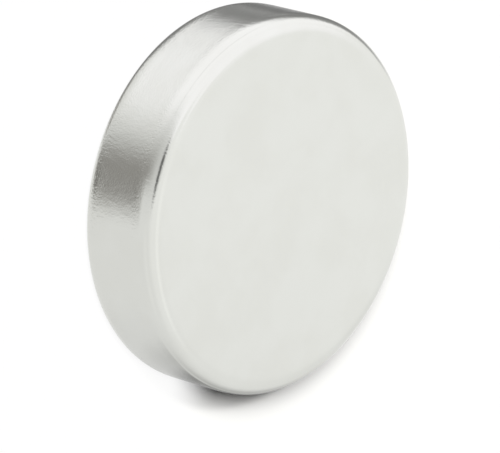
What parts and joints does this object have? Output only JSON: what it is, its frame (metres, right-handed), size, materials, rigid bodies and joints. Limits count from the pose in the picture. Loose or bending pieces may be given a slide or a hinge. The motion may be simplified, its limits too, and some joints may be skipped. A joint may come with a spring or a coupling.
{
  "type": "disc magnet",
  "caption": "Flat round permanent magnet: a nickel-plated disc with rounded edges, for holding sheet metal or setting into a round pocket.",
  "frame": {"origin": "centre of the lower pole face, which the disc lies on", "axes": "+Z along the disc's axis, from the lower pole face to the upper one; X and Y lie in the pole face, and the disc is the same all round"},
  "size_m": [0.025, 0.025, 0.006],
  "materials": {
    "nickel_plating": "gloss"
  },
  "bodies": {
    "root": {"magnet": "nickel_plating"}
  },
  "joints": []
}
